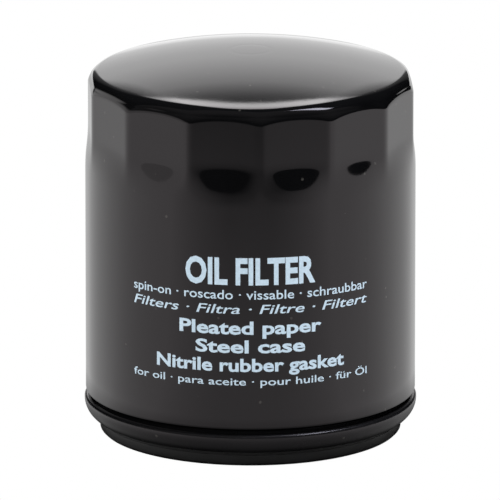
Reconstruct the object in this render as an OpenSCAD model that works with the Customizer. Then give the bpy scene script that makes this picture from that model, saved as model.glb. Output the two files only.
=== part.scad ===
// Spin-on engine oil filter.
// The origin is the centre of the gasket's sealing face; +Z runs up to the dome.
// The front of the can faces -Y.

/* [Can] */
// Outer radius of the can wall
can_r = 38; // [37.5:0.25:39]
// Height from the sealing face to the top of the dome
height = 89.7; // [88:0.1:100]
// Thickness of the can's sheet steel
can_t = 0.4; // [0.35:0.05:0.45]
// Outer radius of the bend between the wall and the dome
shoulder_r = 4.5; // [2:0.25:6]
// Radius of curvature of the dome
dome_r = 124.5; // [110:0.5:150]

/* [Wrench flats] */
// Number of flats around the closed end
flats = 14; // [12:1:15]
// Angle of one ridge from the front, towards the right
ridge_turn = 3.5; // [0:0.5:25]
// Depth of a flat below the round wall
flat_depth = 1; // [0.8:0.05:1]
// Height at which the flats reach their full depth
flat_z = 70.5; // [68:0.1:75]
// Height over which a flat runs out into the round wall
runout_h = 5.1; // [3:0.1:6]

/* [Double seam and lid] */
// Largest radius of the double seam
seam_r = 38.3; // [38.3:0.05:38.6]
// Height of the seam's widest line
seam_z = 7.4; // [7.2:0.1:7.6]
// Lowest edge of the seam
seam_low = 3.6; // [3.4:0.1:3.7]
// Highest edge of the seam
seam_top = 8.2; // [8.1:0.05:8.4]
// Radius of the seam's outside curve
seam_curve = 4.38; // [4.3:0.02:4.5]
// Thickness of the lid's sheet steel
lid_t = 0.5; // [0.4:0.05:0.5]
// Radius of the lid's central opening
lid_open_r = 26.5; // [25:0.5:27]

/* [Gasket] */
// Outer diameter of the gasket
gasket_od = 69.4; // [69:0.1:70]
// Inner diameter of the gasket
gasket_id = 61.8; // [61.6:0.1:62]
// Free height of the gasket
gasket_h = 5.7; // [5.6:0.05:5.8]
// Rounding of the gasket's lower edges
gasket_round = 0.6; // [0.3:0.1:1]

/* [Base plate and thread] */
// Thickness of the base plate
plate_t = 3.2; // [3:0.1:3.4]
// Radius of the base plate
plate_r = 35.4; // [34:0.1:35.6]
// Major radius of the thread in the base plate
thread_r = 9.55; // [9.5:0.01:9.6]
// Outer radius of the drawn neck that carries the thread
neck_r = 11.8; // [11.5:0.1:11.8]
// Height of the top of the threaded neck
neck_top = 15; // [14.8:0.1:15]
// Number of oil inlet holes
inlets = 8; // [6:1:8]
// Radius of one inlet hole
inlet_r = 3.3; // [3:0.1:3.4]
// Radius of the circle that the inlet holes lie on
inlet_pitch_r = 19.5; // [19:0.1:20]

/* [Filter element] */
// Outer radius of the end caps
cap_r = 33.5; // [33:0.1:34]
// Height of the end caps' outer rims
cap_rim_h = 4; // [3:0.1:5]
// Thickness of the end caps' sheet steel
cap_t = 0.4; // [0.3:0.05:0.5]
// Height of the upper end cap's top face
element_top = 69.8; // [68:0.1:70]
// Outer radius of the centre tube
tube_r = 14.9; // [14.8:0.05:15]
// Number of pleats in the filter paper
pleats = 48; // [40:1:52]
// Thickness of the filter paper
paper_t = 0.5; // [0.4:0.05:0.5]
// Height of the adhesive layers in the end caps
glue_h = 1.1; // [0.8:0.1:1.4]

/* [Bypass valve] */
// Radius of the passage through the valve's seat
seat_r = 7; // [6.5:0.1:7]
// Radius of the valve's steel disc
disc_r = 9.6; // [9.4:0.1:9.6]
// Outer radius of the cage that holds the valve's spring
cage_r = 10.8; // [10.6:0.1:11]
// Height of the cage's floor
cage_floor = 53.6; // [52:0.1:55]
// Number of windows in the cage's wall
cage_windows = 4; // [3:1:4]

/* [Springs] */
// Wire diameter of the element spring
element_wire = 1.6; // [1.4:0.1:1.8]
// Wire diameter of the bypass spring
bypass_wire = 0.9; // [0.8:0.1:1]

/* [Hidden] */
$fn = 180;

gap = 0.1;              // clearance between pieces that touch in use
overcut = 1;            // how far a cutting shape reaches past what it cuts
front = -90;            // direction of the can's front
flat_step = 360 / flats;

// Dome and shoulder: both arcs are tangent, and the inner skin is concentric with the outer one.
bend_x = can_r - shoulder_r;
dome_z = height - dome_r;
bend_z = dome_z + sqrt(pow(dome_r - shoulder_r, 2) - pow(bend_x, 2));
bend_dir = [bend_x, bend_z - dome_z] / (dome_r - shoulder_r);

// Neck and double seam, from the outside in: lid, body hook, cover hook, neck, sealant, chuck wall.
seam_x = seam_r - seam_curve;
hook_curve = seam_curve - lid_t;
cover_curve = hook_curve - can_t;
neck_out = seam_x + cover_curve - lid_t;
neck_in = neck_out - can_t;
chuck_out = neck_in - 0.75;
chuck_in = chuck_out - lid_t;
neck_bend_low = 9.1;
neck_bend_high = 9.7;
can_low = 9.9;
hook_top = 7.2;
cover_hook_low = 6.3;
sealant_top = 7;

// Lid's bead that centres the gasket, and its flat panel against the base plate.
panel_z = gasket_h;
bead_out = gasket_id / 2 - 0.2;
bead_in = bead_out - 2.4;
bead_low = 3.9;
plate_z = panel_z + lid_t;
plate_top = plate_z + plate_t;

// Anti-drainback valve: a collar round the neck and a conical flap over the inlet holes.
valve_in = neck_r + 0.15;
collar_out = valve_in + 1.25;
collar_low = plate_top + 0.4;
valve_top = neck_top - 1.3;
flap_root = valve_top - 1.1;
flap_r = lid_open_r - gap;
flap_low = plate_top + gap;
flap_t = 0.6;

// Element: heights from the bottom up.
element_low = neck_top + gap;
cap_hole_r = thread_r + 0.65;
lower_glue_z = element_low + cap_t;
paper_low = lower_glue_z + glue_h;
upper_glue_z = element_top - cap_t;
paper_high = upper_glue_z - glue_h;
tube_t = 0.5;
glue_in = tube_r + 0.05;
glue_out = cap_r - cap_t - 0.05;
paper_in = tube_r + 1.3;
paper_out = cap_r - 1.1;
pleat_step = 360 / pleats;
pleat_gap = 0.25;       // half the open space inside a fold
clip_t = 0.3;
clip_h = paper_high - paper_low - 6;
clip_depth = 2.6;
perf_r = 1.7;
perf_rows = 9;
perf_columns = 8;
perf_pitch = 5.4;

// Bypass valve: seat in the upper end cap, then seal, disc and rivet on one moving body.
seat_wall = 0.8;
seat_low = element_top - 2.2;
seat_flange_r = 11;
seat_flange_t = 0.5;
seal_r = 9.2;
seal_t = 1;
seal_top = seat_low - gap;
disc_t = 0.8;
disc_top = seal_top - seal_t;
disc_low = disc_top - disc_t;
rivet_hole_r = 1.6;
rivet_r = 1.55;
rivet_head_r = 3;
rivet_head_t = 0.6;
cage_flange_r = 13.5;
cage_wall = 0.4;
cage_drain_r = 3;
window_w = 9;
window_h = 8;

// Springs: radius and height of the wire's centre line at both ends.
element_spring_r = [13, 16.5];
element_spring_z = [element_top + element_wire / 2 + gap,
                    dome_z + sqrt(pow(dome_r - can_t - element_wire / 2 - gap, 2) - pow(element_spring_r[1], 2))];
element_turns = 4.5;
bypass_spring_r = [6, 6];
bypass_spring_z = [cage_floor + bypass_wire / 2 + gap, disc_low - bypass_wire / 2 - gap];
bypass_turns = 6;
wire_sides = 8;
steps_per_turn = 24;

// Half outline of the can's outer skin, or of the skin that lies inset inside it.
module body_outline(inset) {
    translate([0, can_low]) square([can_r - inset, bend_z - can_low]);
    translate([bend_x, bend_z]) circle(shoulder_r - inset);
    intersection() {
        translate([0, dome_z]) circle(dome_r - inset, $fn = 1440);
        polygon([[0, can_low], [bend_x, bend_z],
                 [bend_x, bend_z] + 2 * shoulder_r * bend_dir, [0, height + overcut]]);
    }
}

// Wedges that press the flats into the wall: an upright face over a sloping run-out.
module flat_wedges(inset) {
    face = can_r - flat_depth - inset;
    reach = 5;
    slope = runout_h / flat_depth;
    for (i = [0 : flats - 1])
        rotate([0, 0, front + ridge_turn + (i + 0.5) * flat_step])
        rotate([90, 0, 0])
        linear_extrude(height = can_r, center = true)
            polygon([[face, flat_z], [face, height + overcut], [face + reach, height + overcut],
                     [face + reach, flat_z - reach * slope]]);
}

// Solid bounded by one skin of the can, flats included.
module body_solid(inset) {
    difference() {
        rotate_extrude() body_outline(inset);
        flat_wedges(inset);
    }
}

// Ring with a rectangular section.
module ring(r_in, r_out, z_low, z_high) {
    rotate_extrude() translate([r_in, z_low]) square([r_out - r_in, z_high - z_low]);
}

// Flat section between two radii and two heights, for use inside rotate_extrude.
module section(r_in, r_out, z_low, z_high) {
    translate([r_in, z_low]) square([r_out - r_in, z_high - z_low]);
}

// Disc section centred on the seam, which its layers are cut from.
module seam_disc(radius) {
    translate([seam_x, seam_z]) circle(radius);
}

// Ring of round wire round the Z axis, climbing through the given turns with closed ends.
module coil(radii, heights, wire, turns) {
    steps = turns * steps_per_turn;
    end_rise = wire * 1.05;
    pitch = (heights[1] - heights[0] - 2 * end_rise) / (turns - 2);
    function rise(turn) = turn < 1 ? turn * end_rise
        : turn > turns - 1 ? heights[1] - heights[0] - (turns - turn) * end_rise
        : end_rise + (turn - 1) * pitch;
    points = [for (i = [0 : steps], k = [0 : wire_sides - 1])
        let (turn = i / steps_per_turn,
             side = k * 360 / wire_sides,
             r = radii[0] + (radii[1] - radii[0]) * turn / turns + wire / 2 * cos(side),
             z = heights[0] + rise(turn) + wire / 2 * sin(side))
        [r * cos(turn * 360), r * sin(turn * 360), z]];
    walls = [for (i = [0 : steps - 1], k = [0 : wire_sides - 1])
        let (a = i * wire_sides, b = a + wire_sides, n = (k + 1) % wire_sides)
        [a + k, a + n, b + n, b + k]];
    first_end = [for (k = [wire_sides - 1 : -1 : 0]) k];
    last_end = [for (k = [0 : wire_sides - 1]) steps * wire_sides + k];
    polyhedron(points, concat(walls, [first_end, last_end]));
}

// Star outline of the pleats: a narrow tip at r_out and a narrow root at r_in, given half widths.
module pleat_star(r_in, r_out, root_w, tip_w) {
    polygon([for (i = [0 : pleats - 1])
        let (tip = i * pleat_step, root = tip + pleat_step / 2)
        for (p = [[r_out, -tip_w, tip], [r_out, tip_w, tip], [r_in, -root_w, root], [r_in, root_w, root]])
        [p[0] * cos(p[2]) - p[1] * sin(p[2]), p[0] * sin(p[2]) + p[1] * cos(p[2])]]);
}

module can() {
    color("#1a1a1c") {
        difference() {
            body_solid(0);
            body_solid(can_t);
        }
        rotate_extrude() {
            polygon([[neck_in, seam_z], [neck_out, seam_z], [neck_out, neck_bend_low],
                     [can_r, neck_bend_high], [can_r, can_low], [can_r - can_t, can_low],
                     [can_r - can_t, neck_bend_high + 0.15], [neck_in, neck_bend_low + 0.15]]);
            intersection() {
                seam_disc(hook_curve);
                section(neck_in, neck_out, seam_low, seam_z);
            }
            intersection() {
                difference() {
                    seam_disc(hook_curve);
                    seam_disc(cover_curve);
                }
                section(neck_out, seam_r, seam_low, hook_top);
            }
        }
    }
}

module seaming_lid() {
    color("#202022")
    rotate_extrude() {
        intersection() {
            difference() {
                seam_disc(seam_curve);
                seam_disc(hook_curve);
            }
            section(chuck_in, seam_r, seam_low, seam_top);
        }
        intersection() {
            seam_disc(seam_curve);
            section(neck_out, seam_r, seam_top - lid_t, seam_top);
        }
        intersection() {
            seam_disc(cover_curve);
            section(neck_out, seam_r, cover_hook_low, seam_top);
        }
        section(chuck_in, chuck_out, seam_low, plate_z);
        section(bead_out - lid_t, chuck_out, panel_z, plate_z);
        section(bead_out - lid_t, bead_out, bead_low, plate_z);
        section(bead_in, bead_out, bead_low, bead_low + lid_t);
        section(bead_in, bead_in + lid_t, bead_low, plate_z);
        section(lid_open_r, bead_in + lid_t, panel_z, plate_z);
    }
}

module seam_sealant() {
    color("#6f7f5a")
    rotate_extrude()
    intersection() {
        seam_disc(hook_curve);
        section(chuck_out, neck_in, seam_low, sealant_top);
    }
}

module base_plate() {
    color("#8d9095")
    difference() {
        union() {
            ring(thread_r, plate_r, plate_z, plate_top);
            ring(thread_r, neck_r, plate_z, neck_top);
        }
        for (i = [0 : inlets - 1])
            rotate([0, 0, i * 360 / inlets])
            translate([inlet_pitch_r, 0, plate_z - overcut])
                cylinder(r = inlet_r, h = plate_t + 2 * overcut, $fn = 48);
    }
}

module gasket() {
    r_out = gasket_od / 2;
    r_in = gasket_id / 2;
    color("#141414")
    rotate_extrude() {
        section(r_in, r_out, gasket_round, gasket_h);
        section(r_in + gasket_round, r_out - gasket_round, 0, gasket_h);
        for (r = [r_in + gasket_round, r_out - gasket_round])
            translate([r, gasket_round]) circle(gasket_round, $fn = 48);
    }
}

module anti_drainback_valve() {
    color("#a8481f")
    rotate_extrude()
        polygon([[valve_in, collar_low], [collar_out, collar_low], [collar_out, flap_root],
                 [flap_r - 1.2, flap_low], [flap_r, flap_low], [flap_r, flap_low + flap_t],
                 [collar_out + 0.8, valve_top], [valve_in, valve_top]]);
}

module lower_end_cap() {
    color("#b9bcc0") {
        ring(cap_hole_r, cap_r, element_low, element_low + cap_t);
        ring(cap_r - cap_t, cap_r, element_low, element_low + cap_rim_h);
    }
}

module upper_end_cap() {
    color("#b9bcc0") {
        ring(seat_r + seat_wall + 0.05, cap_r, element_top - cap_t, element_top);
        ring(cap_r - cap_t, cap_r, element_top - cap_rim_h, element_top);
    }
}

module lower_adhesive() {
    color("#7a2f28") ring(glue_in, glue_out, lower_glue_z, paper_low);
}

module upper_adhesive() {
    color("#7a2f28") ring(glue_in, glue_out, paper_high, upper_glue_z);
}

module center_tube() {
    mid = (lower_glue_z + upper_glue_z) / 2;
    color("#c2c5c8")
    difference() {
        ring(tube_r - tube_t, tube_r, lower_glue_z, upper_glue_z);
        for (row = [0 : perf_rows - 1], column = [0 : perf_columns / 2 - 1])
            translate([0, 0, mid + (row - (perf_rows - 1) / 2) * perf_pitch])
            rotate([0, 0, (column + (row % 2) / 2) * 360 / perf_columns])
            rotate([90, 0, 0])
                cylinder(r = perf_r, h = 2 * (tube_r + overcut), center = true, $fn = 32);
    }
}

module filter_media() {
    color("#d9c48e")
    translate([0, 0, paper_low])
    linear_extrude(height = paper_high - paper_low)
    difference() {
        pleat_star(paper_in + paper_t, paper_out, pleat_gap, pleat_gap + paper_t);
        pleat_star(paper_in, paper_out - paper_t, pleat_gap + paper_t, pleat_gap);
    }
}

module media_clip() {
    half_w = pleat_gap + paper_t + 0.1;
    color("#c9ccd0")
    translate([paper_out + 0.1 - clip_depth, 0, (paper_low + paper_high - clip_h) / 2])
    difference() {
        translate([0, -half_w - clip_t, 0]) cube([clip_depth + clip_t, 2 * (half_w + clip_t), clip_h]);
        translate([-overcut, -half_w, -overcut]) cube([clip_depth + overcut, 2 * half_w, clip_h + 2 * overcut]);
    }
}

module bypass_seat() {
    color("#c9ccd0") {
        ring(seat_r, seat_r + seat_wall, seat_low, element_top + seat_flange_t);
        ring(seat_r, seat_flange_r, element_top, element_top + seat_flange_t);
    }
}

module bypass_cage() {
    cage_top = element_top - cap_t;
    window_z = (cage_floor + cage_top - window_h) / 2;
    color("#c9ccd0")
    difference() {
        union() {
            ring(cage_r - cage_wall, cage_r, cage_floor - cage_wall, cage_top);
            ring(cage_drain_r, cage_r, cage_floor - cage_wall, cage_floor);
            ring(cage_r - cage_wall, cage_flange_r, cage_top - cage_wall, cage_top);
        }
        for (i = [0 : cage_windows - 1])
            rotate([0, 0, i * 360 / cage_windows])
            translate([0, -window_w / 2, window_z]) cube([cage_r + overcut, window_w, window_h]);
    }
}

module bypass_disc() {
    color("#c2c5c8") ring(rivet_hole_r, disc_r, disc_low, disc_top);
}

module bypass_seal() {
    color("#1c1c1c") ring(rivet_hole_r, seal_r, disc_top, seal_top);
}

module bypass_rivet() {
    color("#b5a06a") {
        translate([0, 0, disc_low - rivet_head_t]) cylinder(r = rivet_head_r, h = rivet_head_t, $fn = 64);
        translate([0, 0, disc_low]) cylinder(r = rivet_r, h = seal_top - disc_low, $fn = 64);
        translate([0, 0, seal_top]) cylinder(r = rivet_head_r, h = rivet_head_t, $fn = 64);
    }
}

module bypass_spring() {
    color("#9a9da1") coil(bypass_spring_r, bypass_spring_z, bypass_wire, bypass_turns);
}

module element_spring() {
    color("#9a9da1") coil(element_spring_r, element_spring_z, element_wire, element_turns);
}

can();
seaming_lid();
seam_sealant();
base_plate();
gasket();
anti_drainback_valve();
lower_end_cap();
lower_adhesive();
filter_media();
media_clip();
center_tube();
upper_adhesive();
upper_end_cap();
bypass_seat();
bypass_cage();
bypass_disc();
bypass_seal();
bypass_rivet();
bypass_spring();
element_spring();
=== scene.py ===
"""A spin-on oil filter: gloss black can, seamed lid, gasket, threaded plate and the element inside."""
import math

import bmesh
import bpy
from mathutils import Matrix, Vector


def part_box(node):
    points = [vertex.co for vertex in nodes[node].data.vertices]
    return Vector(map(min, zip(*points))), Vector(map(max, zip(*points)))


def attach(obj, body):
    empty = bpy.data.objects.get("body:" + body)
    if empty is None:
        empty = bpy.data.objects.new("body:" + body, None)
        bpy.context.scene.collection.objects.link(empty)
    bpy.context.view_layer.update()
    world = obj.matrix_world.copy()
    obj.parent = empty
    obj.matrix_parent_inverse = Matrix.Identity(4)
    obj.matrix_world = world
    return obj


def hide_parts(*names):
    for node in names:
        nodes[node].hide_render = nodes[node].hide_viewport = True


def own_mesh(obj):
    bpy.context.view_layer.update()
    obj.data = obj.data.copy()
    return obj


MM = 0.001
FRONT = -math.pi / 2

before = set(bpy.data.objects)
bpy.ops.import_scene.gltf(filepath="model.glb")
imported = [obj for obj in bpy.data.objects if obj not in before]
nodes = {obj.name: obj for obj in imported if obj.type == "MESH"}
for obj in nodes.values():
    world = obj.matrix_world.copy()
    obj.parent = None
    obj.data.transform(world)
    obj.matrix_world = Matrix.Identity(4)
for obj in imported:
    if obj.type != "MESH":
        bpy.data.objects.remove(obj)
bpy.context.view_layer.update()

# Driving dimensions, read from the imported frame.
can_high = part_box("can")[1]
lid_low, lid_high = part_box("seaming_lid")
gasket_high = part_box("gasket")[1]
plate_low, plate_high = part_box("base_plate")
valve_low, valve_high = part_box("anti_drainback_valve")
CAN_R = can_high.x
CAN_TOP = can_high.z
SEAM_R = lid_high.x
SEAM_TOP = lid_high.z
SEAM_LOW = lid_low.z
GASKET_R = gasket_high.x
GASKET_TOP = gasket_high.z
FLAP_R = valve_high.x
FLAP_LOW = valve_low.z
COLLAR_TOP = valve_high.z
PLATE_R = plate_high.x
PLATE_LOW = plate_low.z
NECK_TOP = plate_high.z

# Can: sheet thickness, dome and shoulder radii, the flats pressed into the closed end, and a faint
# ring that drawing left on the dome.
SHEET = 0.4 * MM
SHOULDER_R = 4.5 * MM
DOME_R = 124.5 * MM
FLATS = 14
FLAT_STEP = 2 * math.pi / FLATS
FIRST_RIDGE = FRONT + math.radians(3.5)
FLAT_DEPTH = 1 * MM
FLAT_Z = CAN_TOP - 19.2 * MM
RUNOUT = 6.9 * MM
DRAW_MARK_R = 4.7 * MM

# Double seam and lid, from the outside in.
SEAM_Z = 7.4 * MM
SEAM_CURVE = 4.38 * MM
SEAM_X = SEAM_R - SEAM_CURVE
LID_T = 0.5 * MM
HOOK_CURVE = SEAM_CURVE - LID_T
COVER_CURVE = HOOK_CURVE - SHEET
NECK_OUT = SEAM_X + COVER_CURVE - LID_T
NECK_IN = NECK_OUT - SHEET
CHUCK_OUT = NECK_IN - 0.75 * MM
CHUCK_IN = CHUCK_OUT - LID_T
LID_OPEN_R = 26.5 * MM

# Base plate: thread and inlet holes.
THREAD_R = 9.55 * MM
THREAD_PITCH = 25.4 / 16 * MM
THREAD_DEPTH = 0.85 * MM
NECK_R = 11.8 * MM
PLATE_TOP = PLATE_LOW + 3.2 * MM
INLETS = 8
INLET_R = 3.3 * MM
INLET_PITCH_R = 19.5 * MM

# Springs: how far each gives, its wire and its turns. The element's is narrower at its foot.
ELEMENT_TRAVEL, ELEMENT_WIRE, ELEMENT_TURNS = 1.5 * MM, 1.6 * MM, 4.5
BYPASS_TRAVEL, BYPASS_WIRE, BYPASS_TURNS = 2.5 * MM, 0.9 * MM, 6
SPRING_TAPER = 3.5 * MM

# Print, and the brightness of the table and of the room.
INK_T = 0.03 * MM
TABLE_LIGHT = 1.89
ROOM_LIGHT = 2.1


# ---------------------------------------------------------------- node trees

def new_material(name):
    """A new node material, with its tree and its Principled shader."""
    material = bpy.data.materials.new(name)
    material.use_nodes = True
    tree = material.node_tree
    return material, tree, tree.nodes["Principled BSDF"]


def add(tree, kind, inputs=None, **settings):
    """Adds one node, sets its properties and its unlinked inputs."""
    made = tree.nodes.new(kind)
    for key, value in settings.items():
        setattr(made, key, value)
    for key, value in (inputs or {}).items():
        made.inputs[key].default_value = value
    return made


def ramp(tree, source, stops):
    """A colour ramp of (position, grey or colour) stops, fed by source."""
    made = add(tree, "ShaderNodeValToRGB")
    elements = made.color_ramp.elements
    while len(elements) < len(stops):
        elements.new(0.5)
    for element, (position, value) in zip(elements, stops):
        element.position = position
        element.color = (value, value, value, 1) if isinstance(value, (int, float)) else (*value, 1)
    tree.links.new(source, made.inputs["Fac"])
    return made.outputs["Color"]


def calc(tree, operation, first, second=0):
    """A maths node of one or two values, each a number or a socket."""
    made = add(tree, "ShaderNodeMath", operation=operation)
    for place, value in enumerate((first, second)):
        if isinstance(value, (int, float)):
            made.inputs[place].default_value = value
        else:
            tree.links.new(value, made.inputs[place])
    return made.outputs[0]


def spread(tree, value, low, high, at_low, at_high):
    """Maps a socket's range low..high onto at_low..at_high, clamped."""
    ends = {"From Min": low, "From Max": high, "To Min": at_low, "To Max": at_high}
    made = add(tree, "ShaderNodeMapRange", ends)
    tree.links.new(value, made.inputs["Value"])
    return made.outputs["Result"]


def object_noise(tree, scale, detail=3, roughness=0.5, stretch=(1, 1, 1)):
    """Noise in object space; scale is in cells per metre."""
    coords = add(tree, "ShaderNodeTexCoord")
    mapping = add(tree, "ShaderNodeMapping", {"Scale": stretch})
    noise = add(tree, "ShaderNodeTexNoise", {"Scale": scale, "Detail": detail, "Roughness": roughness})
    tree.links.new(coords.outputs["Object"], mapping.inputs["Vector"])
    tree.links.new(mapping.outputs["Vector"], noise.inputs["Vector"])
    return noise.outputs["Fac"]


def specks(tree, scale, size):
    """A mask of sparse round specks: 1 inside a speck, 0 outside."""
    coords = add(tree, "ShaderNodeTexCoord")
    cells = add(tree, "ShaderNodeTexVoronoi", {"Scale": scale, "Randomness": 1})
    tree.links.new(coords.outputs["Object"], cells.inputs["Vector"])
    near = ramp(tree, cells.outputs["Distance"], [(0, 1), (size * 0.6, 1), (size, 0)])
    chosen = add(tree, "ShaderNodeSeparateColor")
    tree.links.new(cells.outputs["Color"], chosen.inputs["Color"])
    few = ramp(tree, chosen.outputs["Red"], [(0, 0), (0.9, 0), (0.93, 1)])
    return calc(tree, "MULTIPLY", near, few)


def mix_colour(tree, factor, first, second):
    """Mixes two colours, each a tuple or a socket, by a factor socket."""
    made = add(tree, "ShaderNodeMix", data_type="RGBA")
    tree.links.new(factor, made.inputs["Factor"])
    for name, value in (("A", first), ("B", second)):
        socket = next(s for s in made.inputs if s.name == name and s.type == "RGBA")
        if isinstance(value, tuple):
            socket.default_value = (*value, 1)
        else:
            tree.links.new(value, socket)
    return next(s for s in made.outputs if s.type == "RGBA")


def add_bump(tree, shader, height, strength, distance):
    """Bump from a height socket; distance is in metres."""
    bump = add(tree, "ShaderNodeBump", {"Strength": strength, "Distance": distance})
    tree.links.new(height, bump.inputs["Height"])
    tree.links.new(bump.outputs["Normal"], shader.inputs["Normal"])


def paint(name, colour, rough_low, rough_high, specular, peel):
    """Baked black enamel: faint orange peel, uneven gloss and settled dust."""
    material, tree, shader = new_material(name)
    shader.inputs["Specular IOR Level"].default_value = specular
    shader.inputs["Specular Tint"].default_value = (1, 0.92, 0.95, 1)
    dust = specks(tree, 420, 0.16)
    clouds = object_noise(tree, 90)
    tone = mix_colour(tree, clouds, tuple(c * 0.8 for c in colour), tuple(c * 1.3 for c in colour))
    tree.links.new(mix_colour(tree, dust, tone, (0.035, 0.033, 0.03)), shader.inputs["Base Color"])
    rough = ramp(tree, clouds, [(0.3, rough_low), (0.7, rough_high)])
    tree.links.new(rough, shader.inputs["Roughness"])
    add_bump(tree, shader, object_noise(tree, 550, 1.5), peel, 0.00002)
    return material


def ink():
    """Pale blue-grey screen ink, slightly uneven in cover."""
    material, tree, shader = new_material("ink")
    shader.inputs["Specular IOR Level"].default_value = 0.3
    cover = object_noise(tree, 1600, 4, 0.7)
    tone = mix_colour(tree, cover, (0.33, 0.43, 0.51), (0.61, 0.74, 0.84))
    tree.links.new(tone, shader.inputs["Base Color"])
    tree.links.new(ramp(tree, cover, [(0.3, 0.42), (0.7, 0.6)]), shader.inputs["Roughness"])
    add_bump(tree, shader, cover, 0.2, 0.00002)
    return material


def rubber(name, colour, rough=0.55, bloom=(0.05, 0.05, 0.052)):
    """Moulded rubber: fine mould texture and a dull bloom in patches."""
    material, tree, shader = new_material(name)
    shader.inputs["Specular IOR Level"].default_value = 0.35
    patches = ramp(tree, object_noise(tree, 160, 5, 0.6), [(0.45, 0), (0.75, 1)])
    tree.links.new(mix_colour(tree, patches, colour, bloom), shader.inputs["Base Color"])
    tree.links.new(ramp(tree, patches, [(0, rough), (1, rough + 0.2)]), shader.inputs["Roughness"])
    add_bump(tree, shader, object_noise(tree, 2600, 3), 0.25, 0.00003)
    return material


def metal(name, colour, rough, grain, stain=(0.25, 0.20, 0.14), stain_amount=0.25):
    """Bare sheet or wire: rolling grain, faint oil stains and uneven polish."""
    material, tree, shader = new_material(name)
    shader.inputs["Metallic"].default_value = 1
    lines = object_noise(tree, 700, 4, 0.6, grain)
    patches = ramp(tree, object_noise(tree, 55, 5, 0.65), [(0.5, 0), (0.8, stain_amount)])
    tone = mix_colour(tree, lines, tuple(c * 0.82 for c in colour), colour)
    tree.links.new(mix_colour(tree, patches, tone, stain), shader.inputs["Base Color"])
    tree.links.new(ramp(tree, lines, [(0.3, rough), (0.75, rough + 0.16)]), shader.inputs["Roughness"])
    add_bump(tree, shader, lines, 0.2, 0.00003)
    return material


def compound(name, colour, light, rough):
    """Cured adhesive or sealing compound: small bubbles and a waxy surface."""
    material, tree, shader = new_material(name)
    shader.inputs["Subsurface Weight"].default_value = 0.1
    shader.inputs["Subsurface Scale"].default_value = 0.0004
    cloud = object_noise(tree, 240, 4)
    tree.links.new(mix_colour(tree, cloud, colour, light), shader.inputs["Base Color"])
    tree.links.new(ramp(tree, cloud, [(0.3, rough), (0.7, rough + 0.2)]), shader.inputs["Roughness"])
    add_bump(tree, shader, object_noise(tree, 1100, 2), 0.4, 0.00008)
    return material


def paper():
    """Resin-treated filter paper: matted fibres and slight mottling."""
    material, tree, shader = new_material("filter_paper")
    shader.inputs["Sheen Weight"].default_value = 0.15
    fibres = object_noise(tree, 1500, 6, 0.75, (1, 1, 0.35))
    blotch = object_noise(tree, 120, 3)
    tone = mix_colour(tree, fibres, (0.50, 0.36, 0.17), (0.78, 0.62, 0.36))
    tree.links.new(mix_colour(tree, blotch, tone, (0.70, 0.54, 0.29)), shader.inputs["Base Color"])
    tree.links.new(ramp(tree, fibres, [(0.2, 0.75), (0.8, 0.95)]), shader.inputs["Roughness"])
    add_bump(tree, shader, fibres, 0.6, 0.00008)
    return material


# ---------------------------------------------------------------- mesh tools

def link(name, verts, faces, material):
    """A smooth-shaded mesh object in the scene."""
    mesh = bpy.data.meshes.new(name)
    mesh.from_pydata([tuple(v) for v in verts], [], faces)
    mesh.validate()
    mesh.update()
    mesh.shade_smooth()
    mesh.materials.append(material)
    piece = bpy.data.objects.new(name, mesh)
    bpy.context.scene.collection.objects.link(piece)
    return piece


def add_piece(piece, body, slot, *replaced):
    """Rides a piece on its body and hides the CAD nodes it stands for. Its slot is not used."""
    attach(piece, body)
    if replaced:
        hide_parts(*replaced)
    return piece


def arc(centre, radius, start, end, steps):
    """Points (r, z) along an arc; angles in degrees from the +r direction."""
    angles = [math.radians(start + (end - start) * i / steps) for i in range(steps + 1)]
    return [(centre[0] + radius * math.cos(a), centre[1] + radius * math.sin(a)) for a in angles]


def rounded(corners, steps=5):
    """A closed outline with each (r, z, radius) corner turned into a small arc."""
    out = []
    count = len(corners)
    for i, (x, z, radius) in enumerate(corners):
        here = Vector((x, z))
        before = Vector(corners[i - 1][:2]) - here
        after = Vector(corners[(i + 1) % count][:2]) - here
        half = before.angle(after) / 2
        reach = radius / math.tan(half) if radius else 0
        reach = min(reach, before.length * 0.49, after.length * 0.49)
        if reach <= 0:
            out.append((x, z))
            continue
        first, last = here + before.normalized() * reach, here + after.normalized() * reach
        for k in range(steps + 1):
            t = k / steps
            bent = first * (1 - t) ** 2 + here * 2 * t * (1 - t) + last * t * t
            out.append((bent.x, bent.y))
    return out


def revolve(name, outline, material, columns=288, closed=True):
    """Turns an outline of (r, z) round the Z axis. An open outline starts and ends on the axis."""
    angles = [FRONT + 2 * math.pi * i / columns for i in range(columns)]
    return sweep(name, outline, angles, material, closed, lambda r, z, angle, index: r)


def sweep(name, outline, angles, material, closed, radius_at):
    """Turns an outline through the given angles, with radius_at giving each point's radius."""
    verts, rings = [], []
    for index, (r, z) in enumerate(outline):
        if r < 1e-7:
            rings.append([len(verts)] * len(angles))
            verts.append((0, 0, z))
            continue
        rings.append(list(range(len(verts), len(verts) + len(angles))))
        for a in angles:
            reach = radius_at(r, z, a, index)
            verts.append((reach * math.cos(a), reach * math.sin(a), z))
    faces = []
    pairs = list(zip(rings, rings[1:])) + ([(rings[-1], rings[0])] if closed else [])
    for low, high in pairs:
        for i in range(len(angles)):
            j = (i + 1) % len(angles)
            corners = [low[i], low[j], high[j], high[i]]
            face = [c for k, c in enumerate(corners) if c != corners[k - 1]]
            if len(face) > 2:
                faces.append(face)
    piece = link(name, verts, faces, material)
    face_outwards(piece)
    return piece


def face_outwards(piece):
    """Makes every face of a closed mesh look out."""
    work = bmesh.new()
    work.from_mesh(piece.data)
    bmesh.ops.recalc_face_normals(work, faces=work.faces)
    work.to_mesh(piece.data)
    work.free()


# ---------------------------------------------------------------- the can

def soft_min(a, b, width):
    """The smaller of two values, with the corner between them rounded over width."""
    overlap = max(width - abs(a - b), 0) / width
    return min(a, b) - overlap * overlap * width / 4


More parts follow.
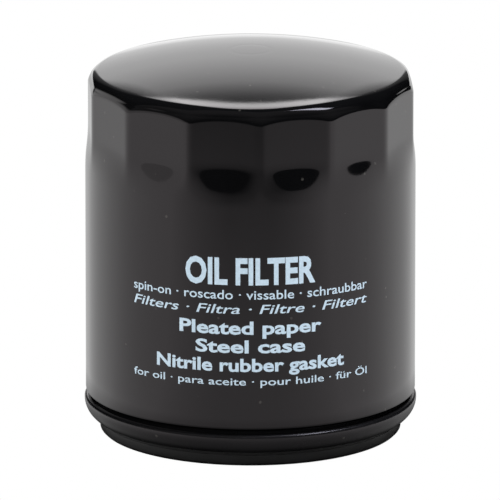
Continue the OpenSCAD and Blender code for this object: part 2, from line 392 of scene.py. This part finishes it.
def press(z):
    """How much of a flat's full depth is left at height z: 1 on the flat, eased to 0 down its run-out."""
    ease = 0.45 * MM
    below = (FLAT_Z - z) / ease
    run = ease * (below if below > 30 else math.log1p(math.exp(below))) / RUNOUT
    part = soft_min(run, 1, 0.3)
    return max((1 - part) * (1 - 0.5 * part), 0) if run < 1.4 else 0


def can_radius(r, z, angle, inset):
    """Radius of the can's skin at a height and angle, with the flats pressed in."""
    pressed = press(z)
    if pressed == 0:
        return r
    turn = (angle - FIRST_RIDGE) % FLAT_STEP - FLAT_STEP / 2
    own = (CAN_R - FLAT_DEPTH) / math.cos(turn)
    neighbour = (CAN_R - FLAT_DEPTH) / math.cos(FLAT_STEP - abs(turn))
    wall = CAN_R - inset - (CAN_R - soft_min(own, neighbour, 0.5 * MM)) * pressed
    above = min((z - CAN_TOP + 9 * MM) / (2 * MM), 1)
    return soft_min(wall, r, 1.6 * MM * above) if above > 0 else wall


def dome_outline(inset, shoulder_steps, dome_steps):
    """Outline of one skin from the apex to the top of the straight wall."""
    bend_x = CAN_R - SHOULDER_R
    dome_z = CAN_TOP - DOME_R
    bend_z = dome_z + math.sqrt((DOME_R - SHOULDER_R) ** 2 - bend_x ** 2)
    tilt = math.degrees(math.atan2(bend_z - dome_z, bend_x))
    dome = arc((0, dome_z), DOME_R - inset, 90, tilt, dome_steps)
    dome[0] = (0, dome[0][1])
    mark_w = 0.35 * MM
    dome = [(r, z - 0.025 * MM * math.exp(-((r - DRAW_MARK_R) / mark_w) ** 2)) for r, z in dome]
    return dome + arc((bend_x, bend_z), SHOULDER_R - inset, tilt, 0, shoulder_steps)[1:]


def wall_heights(top, low):
    """Heights down the wall: close together over the flats' run-outs, few on the round part."""
    dense_top, dense_low = FLAT_Z + 2.5 * MM, FLAT_Z - RUNOUT - 2.5 * MM
    flats = [top + (dense_top - top) * i / 10 for i in range(1, 11)]
    runout = [dense_top + (dense_low - dense_top) * i / 36 for i in range(1, 37)]
    plain = [dense_low + (low - dense_low) * i / 10 for i in range(1, 11)]
    return flats + runout + plain


def build_can(material):
    """The drawn can: domed end with flats, straight wall, neck and body hook, as one closed sheet."""
    outer = dome_outline(0, 30, 60)
    wall_low = 10.1 * MM
    outer += [(CAN_R, z) for z in wall_heights(outer[-1][1], wall_low)]
    inner = dome_outline(SHEET, 12, 24)
    inner += [(CAN_R - SHEET, z) for z in wall_heights(inner[-1][1], wall_low)]
    hook_end = math.degrees(math.asin(-0.2 * MM / HOOK_CURVE))
    hook_in = math.degrees(math.acos((NECK_IN - SEAM_X) / HOOK_CURVE))
    hook_out = math.degrees(math.acos((NECK_OUT - SEAM_X) / COVER_CURVE))
    seam = (SEAM_X, SEAM_Z)
    neck = [(CAN_R - 0.05 * MM, 9.75 * MM), (CAN_R - 0.25 * MM, 9.5 * MM), (NECK_OUT + 0.2 * MM, 9.2 * MM),
            (NECK_OUT, 9 * MM), (NECK_OUT, 8 * MM), (NECK_OUT, 6.4 * MM)]
    hook = arc(seam, COVER_CURVE, -hook_out, hook_end, 8) + arc(seam, HOOK_CURVE, hook_end, -hook_in, 12)
    inside = [(NECK_IN, 7 * MM), (NECK_IN, 9.1 * MM), (NECK_IN + 0.15 * MM, 9.35 * MM),
              (CAN_R - SHEET - 0.2 * MM, 9.65 * MM)]
    outline = outer + neck + hook + inside + inner[::-1]
    outer_count = len(outer) + len(neck)
    inner_first = len(outer) + len(neck) + len(hook) + len(inside)

    def radius_at(r, z, angle, index):
        if index < outer_count:
            return can_radius(r, z, angle, 0)
        return can_radius(r, z, angle, SHEET) if index >= inner_first else r

    # Columns across a flat, from -1 to 1 and closer together at its ridges.
    per_flat = 26
    even = [2 * i / per_flat - 1 for i in range(per_flat)]
    across = [0.45 * u + 0.55 * math.sin(math.pi / 2 * u) for u in even]
    angles = [FIRST_RIDGE + (flat + 0.5 + u / 2) * FLAT_STEP for flat in range(FLATS) for u in across]
    return sweep("can_shell", outline, angles, material, False, radius_at)


# ---------------------------------------------------------------- lid, gasket and base plate

def build_lid(material):
    """The seamed lid: outer curl, cover hook, chuck wall, gasket channel and centring bead."""
    bead_out = gasket_inner() - 0.2 * MM
    bead_in = bead_out - 2.4 * MM
    panel = GASKET_TOP
    bead_low = 3.9 * MM
    seam = (SEAM_X, SEAM_Z)
    tip = math.degrees(math.asin((SEAM_TOP - SEAM_Z) / SEAM_CURVE))
    low = math.degrees(math.asin((SEAM_LOW - SEAM_Z) / SEAM_CURVE))
    outside = arc(seam, SEAM_CURVE, low + 4, tip - 7, 24)
    top = [(SEAM_R - 0.35 * MM, SEAM_TOP - 0.08 * MM), (SEAM_R - 0.7 * MM, SEAM_TOP),
           (NECK_OUT + 0.25 * MM, SEAM_TOP), (NECK_OUT + 0.06 * MM, SEAM_TOP - 0.06 * MM)]
    hook_low = 6.3 * MM
    hook_angle = math.degrees(math.asin((hook_low - SEAM_Z) / COVER_CURVE))
    cover = [(NECK_OUT, SEAM_TOP - 0.25 * MM), (NECK_OUT, hook_low)]
    cover += arc(seam, COVER_CURVE, hook_angle, 3, 6)
    pocket = [(SEAM_X + HOOK_CURVE, SEAM_TOP - LID_T)]
    chuck_angle = math.degrees(math.acos((CHUCK_OUT - SEAM_X) / HOOK_CURVE))
    inside = arc(seam, HOOK_CURVE, 2, -chuck_angle, 16)
    corners = [
        (CHUCK_OUT, panel + LID_T, 0.45 * MM), (bead_out - LID_T, panel + LID_T, 0.2 * MM),
        (bead_out - LID_T, bead_low + LID_T, 0.2 * MM), (bead_in + LID_T, bead_low + LID_T, 0.2 * MM),
        (bead_in + LID_T, panel + LID_T, 0.2 * MM), (LID_OPEN_R, panel + LID_T, 0.15 * MM),
        (LID_OPEN_R, panel, 0.15 * MM), (bead_in, panel, 0.4 * MM), (bead_in, bead_low, 0.5 * MM),
        (bead_out, bead_low, 0.5 * MM), (bead_out, panel, 0.4 * MM), (CHUCK_IN, panel, 0.4 * MM),
        (CHUCK_IN, SEAM_LOW, 0.3 * MM), (outside[0][0] - 0.25 * MM, SEAM_LOW, 0.2 * MM),
    ]
    path = [(*point, 0) for point in outside + top + cover + pocket + inside] + corners
    return revolve("lid_shell", rounded(path), material)


def gasket_inner():
    """Inner radius of the gasket: its ring is 3.8 mm wide."""
    return GASKET_R - 3.8 * MM


def build_gasket(material):
    """The moulded ring: rounded lip, two shallow sealing beads underneath and a seated top."""
    outer, inner = GASKET_R, gasket_inner()
    edge = 0.6 * MM
    bead = 0.12 * MM
    mid = (outer + inner) / 2
    corners = [
        (inner, edge, 0.3 * MM), (inner + edge, 0, 0.5 * MM), (mid - 0.35 * MM, 0, 0.12 * MM),
        (mid - 0.15 * MM, bead, 0.1 * MM), (mid + 0.15 * MM, bead, 0.1 * MM), (mid + 0.35 * MM, 0, 0.12 * MM),
        (outer - edge, 0, 0.5 * MM), (outer, edge, 0.3 * MM), (outer, 2.6 * MM, 0.1 * MM),
        (outer - 0.1 * MM, 2.7 * MM, 0.05 * MM), (outer - 0.1 * MM, 2.9 * MM, 0.05 * MM),
        (outer, 3 * MM, 0.1 * MM), (outer, GASKET_TOP, 0.3 * MM), (inner, GASKET_TOP, 0.3 * MM),
    ]
    return revolve("gasket_ring", rounded(corners), material)


def build_plate(material):
    """The tapping plate: pressed disc with a drawn neck, its inlet holes cut and chamfered."""
    corners = [
        (THREAD_R + 0.5 * MM, PLATE_LOW, 0.1 * MM), (PLATE_R, PLATE_LOW, 0.4 * MM),
        (PLATE_R, PLATE_TOP, 0.3 * MM), (NECK_R, PLATE_TOP, 1 * MM), (NECK_R, NECK_TOP, 0.4 * MM),
        (THREAD_R + 0.4 * MM, NECK_TOP, 0.1 * MM), (THREAD_R, NECK_TOP - 0.4 * MM, 0.05 * MM),
        (THREAD_R, PLATE_LOW + 0.5 * MM, 0.05 * MM),
    ]
    plate = revolve("tapping_plate", rounded(corners), material, columns=192)
    chamfer = 0.35 * MM
    reach = 1 * MM
    flare_r = INLET_R + chamfer + reach
    outline = [(0, PLATE_LOW - reach), (flare_r, PLATE_LOW - reach), (INLET_R, PLATE_LOW + chamfer),
               (INLET_R, PLATE_TOP - chamfer), (flare_r, PLATE_TOP + reach), (0, PLATE_TOP + reach)]
    for i in range(INLETS):
        drill = revolve("drill", outline, material, columns=48, closed=False)
        turn = 2 * math.pi * i / INLETS
        shift = Matrix.Translation((INLET_PITCH_R * math.cos(turn), INLET_PITCH_R * math.sin(turn), 0))
        drill.data.transform(shift)
        cut(plate, drill)
    return plate


def cut(piece, tool):
    """Takes the tool's volume out of the piece and deletes the tool."""
    modifier = piece.modifiers.new("cut", "BOOLEAN")
    modifier.operation, modifier.object, modifier.solver = "DIFFERENCE", tool, "EXACT"
    apply_modifiers(piece)
    bpy.data.objects.remove(tool)


def apply_modifiers(piece):
    """Bakes a piece's modifiers into its mesh."""
    graph = bpy.context.evaluated_depsgraph_get()
    mesh = bpy.data.meshes.new_from_object(piece.evaluated_get(graph))
    piece.modifiers.clear()
    piece.data = mesh


def coil(name, radii, heights, wire, turns, material, sides=12, per_turn=48):
    """A compression spring with closed ends, as one smooth wire with rounded tips."""
    end_rise = wire * 1.05
    pitch = (heights[1] - heights[0] - 2 * end_rise) / (turns - 2)

    def height(turn):
        if turn < 1:
            return heights[0] + turn * end_rise
        if turn > turns - 1:
            return heights[1] - (turns - turn) * end_rise
        return heights[0] + end_rise + (turn - 1) * pitch

    steps = int(turns * per_turn)
    verts, faces = [], []
    for i in range(steps + 1):
        turn = i / per_turn
        r, z = radii[0] + (radii[1] - radii[0]) * turn / turns, height(turn)
        for k in range(sides):
            side = 2 * math.pi * k / sides
            reach = r + wire / 2 * math.cos(side)
            a = 2 * math.pi * turn
            verts.append((reach * math.cos(a), reach * math.sin(a), z + wire / 2 * math.sin(side)))
    for i in range(steps):
        for k in range(sides):
            n = (k + 1) % sides
            faces.append([i * sides + k, i * sides + n, (i + 1) * sides + n, (i + 1) * sides + k])
    faces += [list(range(sides))[::-1], list(range(steps * sides, (steps + 1) * sides))]
    piece = link(name, verts, faces, material)
    face_outwards(piece)
    return piece


def build_thread(material):
    """The thread's ridge: a 60 degree profile climbing the neck's bore, closed at both ends."""
    per_turn = 96
    low, high = PLATE_LOW + 0.6 * MM, NECK_TOP - 0.6 * MM
    turns = (high - low) / THREAD_PITCH - 1
    steps = int(turns * per_turn)
    fade = per_turn // 3
    half_root, half_crest = THREAD_PITCH * 0.42, THREAD_PITCH * 0.07
    verts, faces = [], []
    for i in range(steps + 1):
        rise = min(1, (i + 1) / fade, (steps + 1 - i) / fade)
        z = low + THREAD_PITCH * (i / per_turn + 0.5)
        a = 2 * math.pi * i / per_turn
        root, crest = THREAD_R + 0.05 * MM, THREAD_R - THREAD_DEPTH * rise
        for r, dz in ((root, -half_root), (crest, -half_crest), (crest, half_crest), (root, half_root)):
            verts.append((r * math.cos(a), r * math.sin(a), z + dz))
    for i in range(steps):
        for k in range(4):
            n = (k + 1) % 4
            faces.append([i * 4 + k, i * 4 + n, (i + 1) * 4 + n, (i + 1) * 4 + k])
    faces += [[3, 2, 1, 0], [steps * 4 + k for k in range(4)]]
    piece = link("thread_ridge", verts, faces, material)
    face_outwards(piece)
    return piece


# ---------------------------------------------------------------- inside

def build_drainback(material):
    """The drain-back valve: a ribbed collar and a bell-shaped flap with a thicker lip."""
    inner, outer = NECK_R + 0.15 * MM, NECK_R + 1.4 * MM
    low, flap_t = FLAP_LOW + 0.3 * MM, 0.6 * MM
    root = COLLAR_TOP - 0.5 * MM
    bell_r, bell_z = FLAP_R - 5 * MM, FLAP_LOW + 1.9 * MM
    corners = [
        (inner + 0.15 * MM, low, 0.1 * MM), (inner, low + 0.5 * MM, 0.1 * MM),
        (inner, low + 1.4 * MM, 0.1 * MM), (inner + 0.15 * MM, low + 1.6 * MM, 0.05 * MM),
        (inner, low + 1.8 * MM, 0.1 * MM),
        (inner, COLLAR_TOP, 0.3 * MM), (outer, COLLAR_TOP, 0.4 * MM), (outer + 0.6 * MM, root, 0.5 * MM),
        (bell_r, bell_z, 2 * MM), (FLAP_R - 1.2 * MM, FLAP_LOW + flap_t, 0.6 * MM),
        (FLAP_R - 0.9 * MM, FLAP_LOW + 0.9 * MM, 0.2 * MM), (FLAP_R, FLAP_LOW + 0.8 * MM, 0.3 * MM),
        (FLAP_R, FLAP_LOW, 0.25 * MM), (FLAP_R - 1.3 * MM, FLAP_LOW, 0.4 * MM),
        (bell_r, bell_z - flap_t, 2 * MM), (outer + 0.5 * MM, root - flap_t, 0.6 * MM),
        (outer, root - 1.2 * MM, 0.3 * MM), (outer, low, 0.2 * MM),
    ]
    return revolve("drainback_rubber", rounded(corners), material)


def add_spring(node, wire, turns, material):
    """A fine coil in place of a node's faceted one."""
    low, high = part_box(node)
    bottom, top = low.z, high.z
    wide = high.x - wire / 2
    narrow = wide - (SPRING_TAPER if node == "element_spring" else 0)
    piece = coil(node + "_wire", (narrow, wide), (bottom + wire / 2, top - wire / 2), wire, turns, material)
    add_piece(piece, "element", "spring", node)
    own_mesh(piece)


def finish_nodes(material, *names):
    """Gives CAD nodes that keep their own shape their finish."""
    for name in names:
        for place in nodes[name].material_slots:
            place.material = material


# ---------------------------------------------------------------- print

def wrapped_line(words, cap_height, width, baseline, weight, slant):
    """One line of raised ink as a mesh, centred on the can's front and bent round its wall."""
    curve = bpy.data.curves.new("line", "FONT")
    curve.body, curve.align_x, curve.extrude = words, "CENTER", 0.01
    curve.offset, curve.shear, curve.resolution_u = weight, slant, 3
    flat = bpy.data.objects.new("line", curve)
    bpy.context.scene.collection.objects.link(flat)
    bpy.context.view_layer.update()
    mesh = bpy.data.meshes.new_from_object(flat.evaluated_get(bpy.context.evaluated_depsgraph_get()))
    bpy.data.objects.remove(flat)
    work = bmesh.new()
    work.from_mesh(mesh)
    bmesh.ops.remove_doubles(work, verts=work.verts[:], dist=1e-5)
    left, right = min(v.co.x for v in work.verts), max(v.co.x for v in work.verts)
    top = max(v.co.y for v in work.verts)
    for v in work.verts:
        v.co.x = (v.co.x - (left + right) / 2) * width / (right - left)
        v.co.y *= cap_height / top
    steps = math.ceil(width / MM)
    for i in range(1, steps):
        place = (width * (i / steps - 0.5), 0, 0)
        everything = work.verts[:] + work.edges[:] + work.faces[:]
        bmesh.ops.bisect_plane(work, geom=everything, plane_co=place, plane_no=(1, 0, 0), dist=1e-9)
    for v in work.verts:
        angle = FRONT + v.co.x / CAN_R
        reach = CAN_R + (INK_T if v.co.z > 0 else -0.01 * MM)
        v.co = (reach * math.cos(angle), reach * math.sin(angle), baseline + v.co.y)
    work.to_mesh(mesh)
    work.free()
    return mesh


def build_print(material):
    """The block of screen print on the front: a heading over six lines of plain generic words."""
    # Words, height of a capital, width and baseline in mm, then how bold and how slanted.
    lines = [
        ("OIL FILTER", 6.2, 30.4, 44, 0.035, 0),
        ("spin-on · roscado · vissable · schraubbar", 2.1, 58.8, 40.4, 0.008, 0),
        ("Filters · Filtra · Filtre · Filtert", 2.1, 58.8, 37, 0.008, 0.22),
        ("Pleated paper", 3, 33.4, 32.2, 0.028, 0),
        ("Steel case", 3, 25.5, 27.8, 0.028, 0),
        ("Nitrile rubber gasket", 3, 45.3, 23.4, 0.028, 0),
        ("for oil · para aceite · pour huile · für Öl", 2.1, 58.8, 20.1, 0.008, 0),
    ]
    work = bmesh.new()
    for words, cap_height, width, baseline, weight, slant in lines:
        work.from_mesh(wrapped_line(words, cap_height * MM, width * MM, baseline * MM, weight, slant))
    piece = link("can_print", [], [], material)
    work.to_mesh(piece.data)
    work.free()
    return piece


# ---------------------------------------------------------------- stage

def emission_plane(name, corners):
    """A glowing plane that belongs to the stage, with its tree and its emission node."""
    material = bpy.data.materials.new(name)
    material.use_nodes = True
    tree = material.node_tree
    tree.nodes.remove(tree.nodes["Principled BSDF"])
    glow = add(tree, "ShaderNodeEmission", {"Strength": 1})
    tree.links.new(glow.outputs["Emission"], tree.nodes["Material Output"].inputs["Surface"])
    plane = link(name, corners, [[0, 1, 2, 3]], material)
    return plane, tree, glow


def clear_from_below(tree, glow):
    """Makes a glowing plane clear when it is seen from its back."""
    clear, side = add(tree, "ShaderNodeBsdfTransparent"), add(tree, "ShaderNodeNewGeometry")
    either = add(tree, "ShaderNodeMixShader")
    tree.links.new(side.outputs["Backfacing"], either.inputs["Fac"])
    tree.links.new(glow.outputs["Emission"], either.inputs[1])
    tree.links.new(clear.outputs["BSDF"], either.inputs[2])
    tree.links.new(either.outputs["Shader"], tree.nodes["Material Output"].inputs["Surface"])


def table_light(tree):
    """The table's brightness, with shade painted into its glow: dark at the filter's foot as a painted
    contact shadow, dim in front and dimmer straight behind as a painted shadow.
    """
    coords = add(tree, "ShaderNodeTexCoord")
    axes = add(tree, "ShaderNodeSeparateXYZ")
    distance = add(tree, "ShaderNodeVectorMath", operation="LENGTH")
    tree.links.new(coords.outputs["Object"], axes.inputs["Vector"])
    tree.links.new(coords.outputs["Object"], distance.inputs[0])

    reach, along, across = distance.outputs["Value"], axes.outputs["Y"], axes.outputs["X"]

    # In front: painted shade; the camera's side is darker, and more so further out.
    ahead = spread(tree, calc(tree, "DIVIDE", along, reach), -0.6, -0.97, 0, 1)
    shade = ramp(tree, spread(tree, reach, 0.15, 1.2, 0, 1), [(0, 0.36), (0.2, 0.76), (0.5, 0.9), (1, 1)])
    in_front = calc(tree, "SUBTRACT", 1, calc(tree, "MULTIPLY", ahead, shade))

    # Behind: a painted shadow of the filter, by the angle away from straight behind it. It ends further out.
    beside = calc(tree, "MAXIMUM", calc(tree, "SUBTRACT", calc(tree, "ABSOLUTE", across), 0.037), 0)
    turn = calc(tree, "ARCTAN2", beside, calc(tree, "ADD", along, 0.008))
    painted_shadow = ramp(tree, spread(tree, turn, 0, math.pi / 2, 0, 1),
                  [(0, 0.34), (0.13, 0.42), (0.27, 0.62), (0.4, 0.69), (0.53, 0.77), (0.67, 0.9), (0.84, 1)])
    behind = calc(tree, "MAXIMUM", painted_shadow, spread(tree, reach, 0.35, 0.8, 0.22, 0.75))

    # At the foot: a painted contact shadow, nearly black where the gasket meets the table.
    foot = ramp(tree, spread(tree, reach, 0.03, 0.07, 0, 1),
                [(0, 1), (0.1, 0.02), (0.15, 0.02), (0.25, 0.24), (1, 1)])
    level = calc(tree, "MULTIPLY", calc(tree, "MULTIPLY", in_front, behind), foot)
    return calc(tree, "MULTIPLY", level, TABLE_LIGHT)


def build_stage():
    """A white floor for the eye, clear from below, and the light table that lights the filter."""
    far, near, drop = 12, 1.2, 0.2 * MM
    corners = [(-far, -far, 0), (far, -far, 0), (far, far, 0), (-far, far, 0)]
    floor, tree, glow = emission_plane("floor", corners)
    clear_from_below(tree, glow)
    floor.visible_glossy = floor.visible_diffuse = floor.visible_transmission = False
    corners = [(-near, -near, -drop), (near, -near, -drop), (far, far, -drop), (-far, far, -drop)]
    table, tree, glow = emission_plane("table_light", corners)
    tree.links.new(table_light(tree), glow.inputs["Strength"])
    table.visible_camera = False


def area_light(name, place, aim, size, power, colour=(1, 1, 1), glossy=True):
    """A rectangular softbox. glossy=False lights the scene without showing in reflections."""
    data = bpy.data.lights.new(name, "AREA")
    data.shape = "RECTANGLE"
    data.size, data.size_y = size
    data.energy = power
    data.color = colour
    lamp = bpy.data.objects.new(name, data)
    lamp.location = place
    lamp.rotation_euler = (Vector(aim) - Vector(place)).to_track_quat("-Z", "Y").to_euler()
    lamp.visible_glossy = glossy
    bpy.context.scene.collection.objects.link(lamp)


def build_world():
    """A white wall behind, an arched softbox over it and a low wall on the left, in a dark room."""
    world = bpy.data.worlds.new("studio")
    bpy.context.scene.world = world
    world.use_nodes = True
    tree = world.node_tree
    background = tree.nodes["Background"]
    coords = add(tree, "ShaderNodeTexCoord")
    axes = add(tree, "ShaderNodeSeparateXYZ")
    tree.links.new(coords.outputs["Generated"], axes.inputs["Vector"])
    across, along, up = axes.outputs["X"], axes.outputs["Y"], axes.outputs["Z"]

    def over(axis, height):
        """How far a direction is above a wall whose top is height times its distance: 0.5 at the top."""
        above = calc(tree, "SUBTRACT", up, calc(tree, "MULTIPLY", axis, height))
        return calc(tree, "MULTIPLY", calc(tree, "ADD", above, 1), 0.5)

    # The wall behind: it fades at its top, and at both sides.
    wall = ramp(tree, over(along, 0.96),
                [(0.03, 0.6), (0.1, 0.68), (0.16, 0.77), (0.215, 0.9), (0.28, 0.97), (0.34, 0.97),
                 (0.39, 0.9), (0.42, 0.7), (0.44, 0.56), (0.466, 0.36), (0.49, 0.22), (0.53, 0)])
    beyond = calc(tree, "SUBTRACT", calc(tree, "ABSOLUTE", across), calc(tree, "MULTIPLY", along, 0.21))
    edge = ramp(tree, spread(tree, beyond, -0.02, 0.2, 0, 1), [(0, 1), (0.16, 0.12), (1, 0)])
    backdrop = calc(tree, "MULTIPLY", wall, edge)

    # The softbox over it: an arch, highest in the middle, and much brighter than the wall.
    slope = calc(tree, "DIVIDE", across, along)
    bow = calc(tree, "MULTIPLY", calc(tree, "MULTIPLY", slope, slope), 5.5)
    arch = calc(tree, "ADD", calc(tree, "DIVIDE", up, along), bow)
    lit = ramp(tree, spread(tree, arch, 0.9, 2.9, 0, 1), [(0.04, 0), (0.06, 1), (0.7, 1), (0.8, 0)])
    within = spread(tree, calc(tree, "ABSOLUTE", slope), 0.17, 0.24, 3.4, 0)
    behind = calc(tree, "GREATER_THAN", along, 0.02)
    softbox = calc(tree, "MULTIPLY", calc(tree, "MULTIPLY", lit, within), behind)

    # The low wall on the left, and a faint glow from the room in front.
    low_wall = ramp(tree, over(across, -0.28), [(0.44, 0.65), (0.5, 0)])
    left = calc(tree, "MULTIPLY", low_wall, spread(tree, across, -0.72, -0.58, 1, 0))
    glow = spread(tree, over(along, -0.3), 0.5, 0.75, 0, 0.12)
    room = calc(tree, "MULTIPLY", glow, calc(tree, "LESS_THAN", along, -0.1))

    light = calc(tree, "ADD", calc(tree, "ADD", calc(tree, "MAXIMUM", backdrop, left), softbox), room)
    tree.links.new(light, background.inputs["Color"])
    background.inputs["Strength"].default_value = ROOM_LIGHT


def build_camera():
    """A long lens, a little above the filter, at the front."""
    elevation, distance, view_width = math.radians(14.8), 3, 0.1152
    aim = Vector((-0.0001, 0, 0.04202))
    data = bpy.data.cameras.new("camera")
    data.sensor_width = 36
    data.lens = data.sensor_width * distance / view_width
    data.clip_start, data.clip_end = 0.1, 20
    camera = bpy.data.objects.new("camera", data)
    back = Vector((0, -math.cos(elevation), math.sin(elevation)))
    camera.location = aim + back * distance
    camera.rotation_euler = (-back).to_track_quat("-Z", "Y").to_euler()
    bpy.context.scene.collection.objects.link(camera)
    bpy.context.scene.camera = camera


# Camera and lights.
build_camera()
build_stage()
build_world()
bpy.context.scene.view_settings.view_transform = "Standard"
area_light("overhead", (0, 0.25, 1.1), (0, 0.05, 0), (1.6, 0.9), 10, glossy=False)
area_light("front_key", (-0.3, -1.3, 0.9), (0, 0, 0.04), (0.9, 0.7), 14, glossy=False)
area_light("side_softbox", (0.5, -0.14, 0.98), (0, 0, 0.08), (0.34, 0.28), 6.5, (0.82, 0.87, 1))

# Outside.
enamel = paint("can_enamel", (0.0032, 0.0032, 0.0035), 0.05, 0.08, 0.25, 0.12)
satin = paint("lid_enamel", (0.005, 0.005, 0.0055), 0.22, 0.32, 0.25, 0.2)
add_piece(build_can(enamel), "housing", "can", "can")
add_piece(build_print(ink()), "housing", "can")
add_piece(build_lid(satin), "housing", "seaming_lid", "seaming_lid")
black_rubber = rubber("gasket_rubber", (0.006, 0.006, 0.006), 0.5, (0.014, 0.014, 0.015))
add_piece(build_gasket(black_rubber), "housing", "gasket", "gasket")
plate_steel = metal("plate_steel", (0.42, 0.43, 0.44), 0.3, (1, 1, 1))
add_piece(build_plate(plate_steel), "housing", "base_plate", "base_plate")
add_piece(build_thread(metal("thread_steel", (0.50, 0.50, 0.50), 0.24, (1, 1, 6))), "housing", "base_plate")
finish_nodes(compound("sealing_compound", (0.16, 0.20, 0.12), (0.26, 0.30, 0.20), 0.45), "seam_sealant")

# Inside: drain-back valve, element, bypass valve and springs.
silicone = rubber("silicone_rubber", (0.30, 0.075, 0.03), 0.42, (0.36, 0.12, 0.06))
add_piece(build_drainback(silicone), "drainback_valve", "anti_drainback_valve", "anti_drainback_valve")
tinplate = metal("tinplate", (0.62, 0.63, 0.64), 0.26, (1, 1, 0.4))
finish_nodes(tinplate, "lower_end_cap", "upper_end_cap", "center_tube")
finish_nodes(metal("clip_steel", (0.60, 0.61, 0.63), 0.3, (1, 1, 0.1)), "media_clip")
plastisol = compound("plastisol", (0.16, 0.035, 0.028), (0.26, 0.07, 0.05), 0.4)
finish_nodes(plastisol, "lower_adhesive", "upper_adhesive")
finish_nodes(paper(), "filter_media")
stamped_steel = metal("stamped_steel", (0.56, 0.56, 0.57), 0.28, (1, 1, 1))
finish_nodes(stamped_steel, "bypass_seat", "bypass_cage", "bypass_disc")
finish_nodes(rubber("seal_rubber", (0.012, 0.012, 0.012), 0.5, (0.03, 0.03, 0.03)), "bypass_seal")
finish_nodes(metal("rivet_brass", (0.62, 0.44, 0.18), 0.24, (1, 1, 1), (0.30, 0.18, 0.08)), "bypass_rivet")
spring_steel = metal("spring_wire", (0.40, 0.39, 0.38), 0.3, (1, 1, 1), (0.16, 0.11, 0.07))
add_spring("element_spring", ELEMENT_WIRE, ELEMENT_TURNS, spring_steel)
add_spring("bypass_spring", BYPASS_WIRE, BYPASS_TURNS, spring_steel)
